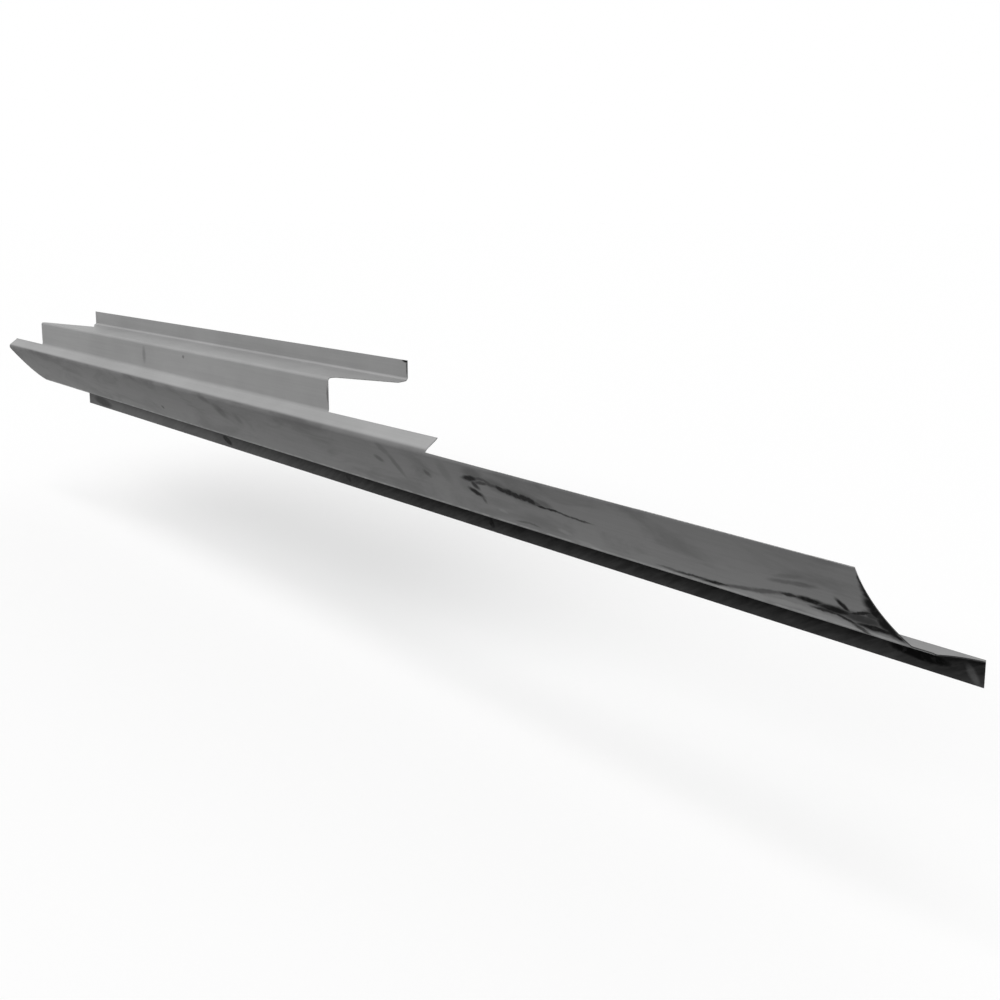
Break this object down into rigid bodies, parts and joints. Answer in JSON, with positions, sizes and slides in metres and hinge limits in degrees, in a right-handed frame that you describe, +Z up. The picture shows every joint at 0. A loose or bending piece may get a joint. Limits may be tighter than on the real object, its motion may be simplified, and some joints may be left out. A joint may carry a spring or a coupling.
{
  "type": "rocker panel",
  "caption": "Folded steel slip-on rocker panel that covers a car's sill under the door opening, with a stepped top, a curved front end and a wheel-arch cut.",
  "frame": {"origin": "middle of the back of the hanging pinch flange, the face that is welded to the car", "axes": "+X back along the car to the rear wheel arch, +Y inward to the car, +Z up"},
  "size_m": [1.9312, 0.0795, 0.192],
  "materials": {
    "bare_steel": "dull bare cold-rolled steel with a thin film of oil, dark smears and scuffs"
  },
  "bodies": {
    "root": {"rocker_panel": "bare_steel"}
  },
  "joints": []
}
